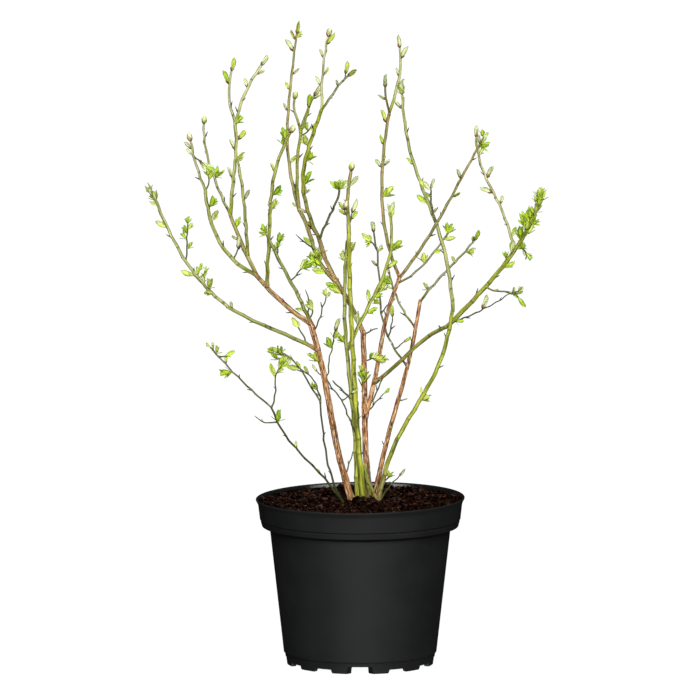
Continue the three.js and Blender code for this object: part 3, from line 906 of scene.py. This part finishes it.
# Painted shade: thin shoots low in the clump, and a few higher limbs a little, are coloured darker.
limb_painted_shade = {
    "thin_left_cane": 0.92, "thin_left_shoot": 0.75, "lowest_left_cane": 0.92, "lowest_left_shoot": 0.65,
    "leaning_shoot": 0.45, "centre_back_shoot": 0.7, "right_leafy_shoot": 0.5, "inward_shoot": 0.4,
    "tall_right_side_shoot": 0.45, "slanting_left_shoot": 0.25, "low_left_bough": 0.2,
    "low_right_bough": 0.1, "far_right_bough": 0.2, "high_left_bough": 0.05, "middle_bough": 0.12,
    "tall_right_shoot": 0.12, "tall_right_bough": 0.08, "high_left_shoot": 0.08,
}
limb_ages = {}
limb_nodes = {}
dice = random.Random(11)
for seed, (limb, (carrier, bears)) in enumerate(plant.items()):
    spine, slot = spines[limb], slots[limb]
    marks, tip = marks_of(bears)
    if tip:
        spine.cut(tip_room[tip])
    # A green shoot is the older, the thicker it is.
    thickness_age = within((spine.sizes[len(spine.sizes) // 2] - 1.3) / 4, 0.35)
    age = own_ages.get(limb, slot_ages.get(slot, thickness_age))
    limb_ages[limb] = age
    nodes = nodes_along(spine, full_lengths[limb], marks, kink_depth * (1 - 0.8 * age), dice)
    limb_nodes[limb] = nodes
    if carrier is None:
        ages, foot_dirt_and_shade = (foot_ages.get(limb, age), age, cane_turn), cane_dirt_and_shade
        foot_swell, foot_reach = 0.0, 1.0
    else:
        ages, foot_dirt_and_shade = (limb_ages[carrier], age, fork_turn), 0.0
        parent = spines[carrier]
        parent_radius = parent.sizes[-1]
        # It starts as thick as the parent's end that it goes on from, or else it flares a little.
        if (spine.line[0] - parent.line[-1]).length < 4 * parent_radius:
            foot_swell, foot_reach = 0.95 * parent_radius / spine.sizes[0] - 1, 3 * parent_radius
        else:
            foot_swell, foot_reach = 0.5, 2 * spine.sizes[0] + parent_radius
    painted_shade_and_dirt = limb_painted_shade.get(limb, 0)
    tube = skin(spine, nodes, seed, *skins[slot], ages, painted_shade_and_dirt, foot_dirt_and_shade, foot_swell, foot_reach)
    bmesh.ops.scale(tube, verts=tube.verts, vec=(mm, mm, mm))
    piece = new_piece(limb + "_bark", tube, barks[slot])
    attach(piece, "root")
    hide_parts(limb)

# ---------------------------------------------------------------- twigs
# Shoots too thin for a limb of their own, green or dead and grey. Each is named by what carries it,
# the percent of its length, the twig's length in mm, its headings from foot to tip in degrees to the
# right of straight up, how far it leans to the back, its marks and, if it is a thick one, how much
# thicker than the rest.
twigs = [
    ("outer_left_shoot", 61, 14, (125, 120), 5, "l<45 b<75 ^L"),
    ("outer_left_bough", 98, 24, (22, -8), 15, "t>55 ^t"),
    ("outer_left_bough", 29, 30, (18, 34), -15, "s>45 ^B"),
    ("slanting_left_shoot", 70, 17, (4, 4), -20, "t<45 t>55 ^T"),
    ("slanting_left_shoot", 45, 32, (46, 40), 20, "s>30 l<62 L<90 ^T"),
    ("slanting_left_shoot", 12, 26, (10, -15), 25, "s<50 ^s"),
    ("slanting_left_shoot", 7, 24, (18, 4), -15, "l<50 ^L"),
    ("crown_bough", 45, 33, (-46, -48), -35, "s<60 ^s"),
    ("low_left_shoot", 46, 50, (5, 2), -10, "t>28 t<50 t>72 t<62 ^t"),
    ("low_left_bough", 14, 32, (-16, -34, -78), 15, "l>60 ^L"),
    ("left_cane", 94, 52, (24, 12), -12, "s>36 s<60 l>82 ^t"),
    ("thin_left_cane", 98, 60, (-6, -14, -30, -50, -75, -98), 12, "s<14 t<26 b>60 l>82 ^L"),
    ("lowest_left_shoot", 2, 64, (20, 6, 0, 34, 44), -15, "s<36 L<58 t>66 L<76 L>84 ^T"),
    ("lowest_left_shoot", 80, 13, (82, 100), 10, "L<80 ^v"),
    ("lowest_left_cane", 86, 24, (-112, -78, -48), -10, "v>70 ^s"),
    ("left_green_cane", 27, 158, (-19, -19, -19, -24, -38, -34, 10, 6, 12, 10, 8, 4), -22,
     "s<12 k>30 s<41 k<51 T<76 t>84 ^B"),
    ("left_green_cane", 40, 33, (-46, -48), 25, "s<50 ^.", 1.4),
    ("left_cane", 18, 30, (16, 22), 20, "s<50 ^."),
    ("right_green_cane", 27, 34, (-2, 0), -22, "s>50 ^s"),
    ("green_tip_shoot", 6, 30, (-20, 0), -10, "b<40 b>60 b<78 ^p"),
    ("green_tip_shoot", 4, 16, (12, 14), 10, "b>50 ^B"),
    ("middle_bough", 97, 17, (-36, -33), -25, "s<50 ^b"),
    ("middle_cane", 4, 44, (-14, -8, -4), -20, "s>60 ^.", 2),
    ("middle_cane", 82, 14, (66, 74, 88), -12, "t<50 T>75 ^T"),
    ("middle_cane", 97, 19, (56, 72), -15, "s<50 ^."),
    ("inner_right_cane", 4, 38, (38, 46), -18, "s<30 s>60 ^l"),
    ("inner_right_cane", 9, 50, (34, 26, 18, 62), -10, "s<40 v<62 ^."),
    ("inner_right_cane", 9, 29, (-28, -14), 20, "s<50 ^s"),
    ("crown_shoot", 64, 42, (20, 12), -20, "s>40 ^B", 1.6),
    ("crown_shoot", 58, 24, (52, 48), -10, "t<40 l>60 ^b"),
    ("olive_side_shoot", 74, 6, (0, 4), 0, "^B"),
    ("centre_back_shoot", 23, 28, (14, 8), -25, "s>40 ^B"),
    ("centre_back_shoot", 81, 23, (-43, -43), 10, "t<45 l>70 ^L"),
    ("centre_back_shoot", 39, 15, (36, 36), -20, "^b"),
    ("far_right_bough", 6, 74, (70, 62, 52), -12, "s>24 B<52 s<80 ^s"),
    ("arching_twig", 98, 10, (-2, 4), 0, "L<60 b>70 ^b"),
    ("right_bough", 97, 16, (22, 14), -12, "l>40 ^t"),
    ("far_right_twig", 80, 14, (80, 150), 0, "b<40 b>55 ^L"),
    ("far_right_bough", 70, 14, (130, 135), 10, "l<50 ^t"),
    ("right_cane", 52, 10, (100, 60), -12, "^v"),
    ("arching_cane", 37, 22, (-155, -160), -10, "^."),
    ("arching_cane", 4, 50, (28, 50), -15, "s<50 ^b"),
    ("arching_cane", 13, 14, (38, 72), 10, "t<60 ^s"),
    ("arching_cane", 3, 52, (-22, -20, -12), -15, "s<50 ^.", 1.6),
]
twig_radii = (0.95, 0.6)
twig_step = 7
twig_wander = 7  # degrees to and fro at its kinks
twig_skin = (8, 1.6, 0.1)  # sides, pitch and relief, as for the limbs
stout = 1.5  # a twig more than this much thicker than the rest is a fresh one


def twig_spine(foot, length, headings, lean, radii):
    """A twig that turns evenly from heading to heading, with a kink at each node."""
    steps = max(3, round(length / twig_step))
    points, point = [foot], foot
    tilt = math.radians(lean)
    for i in range(steps):
        stop = (i + 0.5) / steps * (len(headings) - 1)
        turn = math.radians(np.interp(stop, range(len(headings)), headings) + twig_wander * (-1) ** i)
        way = Vector((math.sin(turn) * math.cos(tilt), math.sin(tilt), math.cos(turn) * math.cos(tilt)))
        point = point + way * length / steps
        points.append(point)
    return Spine(points, [radii[0] + (radii[1] - radii[0]) * i / steps for i in range(steps + 1)])


green_twigs, grey_twigs, fresh_twigs = Heap(), Heap(), Heap()
bearing = []  # every spine with its nodes and what its tip ends in


def grow_twig(heap, spine, nodes, seed):
    heap.add(Shape(skin(spine, nodes, seed, *twig_skin)), Matrix.Identity(4))


def branch(carrier, along, length, headings, lean, bears, thick, dice, seed):
    """Grows a twig out of its carrier, and notes what it bears."""
    point, _, radius = carrier.at(along)
    radii = [min(size * thick, radius) for size in twig_radii]
    spine = twig_spine(point, length, headings, lean, radii)
    marks, tip = marks_of(bears)
    if length > 2 * tip_room[tip]:
        spine.cut(tip_room[tip])
    nodes = nodes_along(spine, length, marks, kink_depth, dice)
    heap = grey_twigs if tip == "s" else green_twigs
    grow_twig(fresh_twigs if thick > stout else heap, spine, nodes, seed)
    bearing.append((spine, nodes, tip))


for limb, (_, bears) in plant.items():
    bearing.append((spines[limb], limb_nodes[limb], marks_of(bears)[1]))
dice = random.Random(5)
for seed, (limb, percent, length, headings, lean, bears, *thick) in enumerate(twigs):
    along = full_lengths[limb] * percent / 100
    thickness = thick[0] if thick else 1
    branch(spines[limb], along, length, headings, lean, bears, thickness, dice, seed + 60)
# Twiglets: short side shoots that end in a bud.
twiglet_length = 14
for spine, nodes, _ in list(bearing):
    for node in nodes:
        if node.kind == "k":
            start = math.degrees(math.atan2(node.out.x, 1.0)) + 20 * math.copysign(1, node.out.x)
            lean = math.degrees(math.asin(node.out.y)) * 0.5
            headings = (start, start * 0.7)
            branch(spine, node.along, twiglet_length, headings, lean, "^b", 1, dice, node.along)

# ---------------------------------------------------------------- leaves and buds
# Opening buds are a few blunt young leaves wrapped round one another over red-brown scales, slim
# along the sides and plump at the tips. Where they have opened further they are tufts. Each kind and
# each tint is one piece, and the tint of a spray is drawn by lot.


def leaf(width, cup, curl, seed):
    """A young leaf 1 mm long along Z with a blunt tip, cupped to a trough that opens to +Y. It is
    darker towards its edge and tip."""

    def bend(x, y):
        side, along = x * 2, y + 0.5
        rise = min(1.0, 0.34 + 1.5 * along)
        fall = math.sqrt(max(0.0, 1 - max(0.0, (along - 0.5) / 0.5) ** 2.4))
        roll = width * rise * fall / cup
        lift = roll * (1 - math.cos(side * cup)) + curl * along * along
        ripple = 0.025 * noise.noise(Vector((side * 2, along * 4, seed)))
        point = (roll * math.sin(side * cup), lift + ripple, along)
        return point, min(1.0, abs(side) ** 3 + 0.6 * along**5)

    return bent_sheet(4, 6, bend)


def bud_body(width, point):
    """A bud 1 mm long along Z, narrower towards its top."""
    mesh = bmesh.new()
    bmesh.ops.create_uvsphere(mesh, u_segments=7, v_segments=6, radius=0.5)
    for vertex in mesh.verts:
        along = vertex.co.z + 0.5
        taper = width * 2 * (1.12 - point * along**2)
        vertex.co = (vertex.co.x * taper, vertex.co.y * taper, along)
    return Shape(mesh)


def bud_scale(width, start, end, stand):
    """One scale that wraps a third of a bud of the same width, between two heights. It is darker
    towards its foot."""

    def bend(x, y):
        share = y + 0.5
        along = start + (end - start) * share
        girth = 2 * width * math.sqrt(max(0.02, along * (1 - along))) * stand
        turn = x * 2.3 * (1 - share**2 * 0.93)
        return (math.sin(turn) * girth, math.cos(turn) * girth, along), 1 - share

    return bent_sheet(3, 3, bend)


def spur_shape():
    """A dead stub 1 mm long."""
    mesh = bmesh.new()
    bmesh.ops.create_cone(mesh, cap_ends=True, segments=6, radius1=0.16, radius2=0.07, depth=1)
    bmesh.ops.translate(mesh, verts=mesh.verts, vec=(0, 0, 0.5))
    return Shape(mesh)


# The colour of each tint at the middle of a leaf and at its edge.
tints = {
    "fresh": ("c6e040", "6c941c"),
    "yellow": ("dae66a", "809a2c"),
    "deep": ("a6cc3a", "567c18"),
    "pale": ("e0e8b0", "869650"),
}
leaf_heaps = {tint: Heap() for tint in tints}
bud_wraps, bud_scales, spurs = Heap(), Heap(), Heap()
open_leaves = [leaf(0.18, 0.5, -0.14, 1), leaf(0.19, 0.7, 0.08, 2), leaf(0.16, 0.9, 0.2, 3)]
wrapped_leaf = leaf(0.26, 1.4, 0.05, 4)
plump_body = bud_body(0.27, 0.85)
slim_scale = bud_scale(0.16, 0.0, 0.36, 1.25)
plump_scale, plump_wrap = bud_scale(0.27, 0.0, 0.4, 1.12), bud_scale(0.27, 0.2, 0.78, 1.06)
stub = spur_shape()
golden = math.radians(137.5)
leaf_turn, scale_turn = 2.2, 2.09  # from one of the three leaves or scales of a bud to the next


def around(way, turn):
    """A direction square to another, turned round it."""
    square = way.orthogonal().normalized()
    return Matrix.Rotation(turn, 3, way) @ square


def put(heap, shape, point, way, facing, size):
    """Stands a copy of a shape at a point: its Z goes the given way, its Y to one side."""
    z = way.normalized()
    y = (facing - z * facing.dot(z)).normalized()
    turn = Matrix((y.cross(z), y, z)).transposed().to_4x4()
    heap.add(shape, Matrix.Translation(point) @ turn @ Matrix.Scale(size, 4))


def put_scales(heap, shape, point, way, turn, size):
    for i in range(3):
        put(heap, shape, point, way, around(way, turn + i * scale_turn), size)


def set_bud(point, way, size, dice):
    """A slim opening bud: leaves that are still rolled round each other."""
    heap = leaf_heaps[dice.choices(("pale", "yellow", "fresh"), (6, 3, 1))[0]]
    turn = dice.uniform(0, 6)
    for i, share in enumerate((1.0, 0.9, 0.78)):
        outward = around(way, turn + i * leaf_turn)
        opening = math.radians(dice.uniform(1, 8))
        aim = way * math.cos(opening) + outward * math.sin(opening)
        put(heap, wrapped_leaf, point + outward * size * 0.05, aim, -outward, size * share)
    put_scales(bud_scales, slim_scale, point - way * size * 0.03, way, turn, size * 0.9)


def set_plump_bud(point, way, size, dice):
    turn = dice.uniform(0, 6)
    base = point - way * size * 0.05
    put(leaf_heaps["pale"], plump_body, base, way, around(way, turn), size)
    wraps = leaf_heaps["yellow"] if dice.random() < 0.5 else bud_wraps
    put_scales(wraps, plump_wrap, base, way, turn + 1, size)
    put_scales(bud_scales, plump_scale, base, way, turn, size)


def set_tuft(point, way, size, count, tint_pair, dice):
    """Leaves round a short axis: the inner ones upright, the outer ones more open."""
    first, second = tint_pair
    turn = dice.uniform(0, 6)
    for i in range(count):
        share = (i + 0.5) / count
        outward = around(way, turn + i * golden)
        opening = math.radians(6 + 46 * share + dice.gauss(0, 8))
        aim = way * math.cos(opening) + outward * math.sin(opening)
        length = size * (1 - 0.35 * share) * dice.uniform(0.8, 1.15)
        heap = leaf_heaps[first if dice.random() < 0.65 else second]
        shape = dice.choice(open_leaves) if share > 0.3 else wrapped_leaf
        put(heap, shape, point + outward * 0.6, aim, -outward, length)
    put_scales(bud_scales, slim_scale, point, way, turn, size * 0.6)


# The lengths in mm of what each kind of mark stands for, and how many leaves a tuft has.
bud_lengths = {"v": (3.5, 5.5), "b": (9, 12), "B": (14, 17)}
plump_lengths = (10, 12)
tufts = {"t": ((9, 11.5), (5, 7)), "T": ((12, 15.5), (8, 10))}
leaf_lengths = {"l": (8, 11), "L": (13, 16)}
spur_lengths = (3, 6)
tint_pairs = (("fresh", "yellow"), ("fresh", "deep"), ("yellow", "pale"))


def bear(kind, point, heading, out, dice):
    """Puts what a node or tip bears at a point on the bark. At a tip, out has no length."""
    lean = 0 if out.length == 0 else math.radians(dice.uniform(24, 46))
    way = (heading * math.cos(lean) + out * math.sin(lean)).normalized()
    if kind in bud_lengths:
        set_bud(point, way, dice.uniform(*bud_lengths[kind]), dice)
    if kind == "p":
        set_plump_bud(point, way, dice.uniform(*plump_lengths), dice)
    tint_pair = dice.choice(tint_pairs)
    if kind in tufts:
        lengths, counts = tufts[kind]
        set_tuft(point, way, dice.uniform(*lengths), dice.randint(*counts), tint_pair, dice)
    if kind in leaf_lengths:
        length = dice.uniform(*leaf_lengths[kind])
        turn = dice.uniform(0, 6)
        for i, share in enumerate((1.0, 0.8, 0.6)):
            heap = leaf_heaps[dice.choice(("fresh", "pale", "yellow"))]
            aim = (way + around(way, turn + i * golden) * 0.22 * i).normalized()
            facing = Vector((dice.uniform(-0.8, 0.8), dice.choice((-1, 1)), 0))
            put(heap, open_leaves[i], point, aim, facing, length * share)
    if kind == "s":
        put(spurs, stub, point, way, around(way, 0), dice.uniform(*spur_lengths))


tip_sink = 0.6  # how deep a bud or tuft sits in the tip that bears it
dice = random.Random(23)
for spine, nodes, tip in bearing:
    for node in nodes:
        if node.kind not in ".k":
            bear(node.kind, node.point + node.out * node.radius, node.heading, node.out, dice)
    if tip:
        point, heading, _ = spine.at(spine.length)
        bear(tip, point - heading * tip_sink, heading, Vector(), dice)

# The thickest tufts, where a limb's last buds have opened together: short twigs fan out from the
# limb, each with its own leaves. For each: its limb, how many twigs, the length of its leaves in mm,
# how far below the middle of its mass the twigs end, and its tints.
clusters = {
    "outer_tuft": ("low_left_shoot", 3, 9, 0, ("yellow", "pale")),
    "low_left_tuft": ("low_left_shoot", 4, 10, 0, ("fresh", "yellow")),
    "left_cluster": ("thin_left_shoot", 5, 11, 6, ("fresh", "yellow")),
    "centre_tuft": ("crown_bough", 7, 12, 0, ("fresh", "yellow")),
    "low_centre_tuft": ("middle_cane", 6, 11, 5, ("yellow", "fresh")),
    "right_tuft": ("far_right_bough", 7, 11, -3, ("fresh", "yellow")),
    "right_cluster": ("far_right_bough", 9, 14, 9, ("fresh", "yellow")),
    "low_right_tuft": ("far_right_twig", 3, 9, 0, ("pale", "yellow")),
}
foot_drop = 5  # the twigs start this far below where they end
cluster_spread = 0.6
cluster_radii = (0.8, 0.7, 0.6)
for seed, (tuft, (limb, count, size, drop, tint_pair)) in enumerate(clusters.items()):
    low, high = (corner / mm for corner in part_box(tuft))
    centre, half = (low + high) / 2, (high - low) / 2
    line = spines[limb].line
    nearest = min(range(len(line)), key=lambda i: (line[i] - centre).length)
    for i in range(count):
        turn = seed + i * golden
        height = (i + 0.5) / count * 2 - 1
        foot = nearest - foot_drop - drop + round(height * half.z * 0.7)
        root = line[max(0, min(foot, len(line) - 1))]
        level = math.sqrt(1 - height * height)
        offset = Vector((level * math.cos(turn), level * math.sin(turn), height)) * cluster_spread
        target = centre + Vector((offset.x * half.x, offset.y * half.y, offset.z * half.z - drop))
        seat = root.lerp(target, 0.7)
        twig = Spine([root, root.lerp(seat, 0.5) - up * 0.4, seat], cluster_radii)
        grow_twig(fresh_twigs, twig, [], seed + i)
        way = ((target - root).normalized() + up * 0.8).normalized()
        set_tuft(seat, way, size, dice.randint(3, 5), tint_pair, dice)


def two_tone(name, light, dark, roughness):
    """A plain colour that goes over to a second one where its mesh is marked as dark."""
    finish = surface(name, light, roughness, 0.35)
    finish.set(Base_Color=finish.mix(finish.mark("scar"), light, dark))
    finish.bump(finish.specks(1500, 2), 0.25, 0.1)
    return finish


for tint, heap in leaf_heaps.items():
    piece = heap.piece("leaves_" + tint, two_tone("leaf_" + tint, *tints[tint], 0.5), "young_leaves")
    if tint == "fresh":
        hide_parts(*clusters)
bud_wraps.piece("bud_wraps", two_tone("bud_cream", "d9cda0", "b09a66", 0.55), "young_leaves")
bud_scales.piece("bud_scales", two_tone("bud_brown", "a87c50", "3a2216", 0.6), "young_leaves")
spurs.piece("dead_spurs", two_tone("dead_wood", "3a3428", "2e281c", 0.8), "olive_bark")
green_twigs.piece("green_twigs", two_tone("twig_green", "525c32", "2c2e18", 0.55), "green_bark")
fresh_twigs.piece("fresh_twigs", two_tone("twig_yellow", "939a48", "4e5524", 0.55), "green_bark")
grey_twigs.piece("grey_twigs", two_tone("twig_grey", "4c4c38", "2c2a1a", 0.7), "olive_bark")
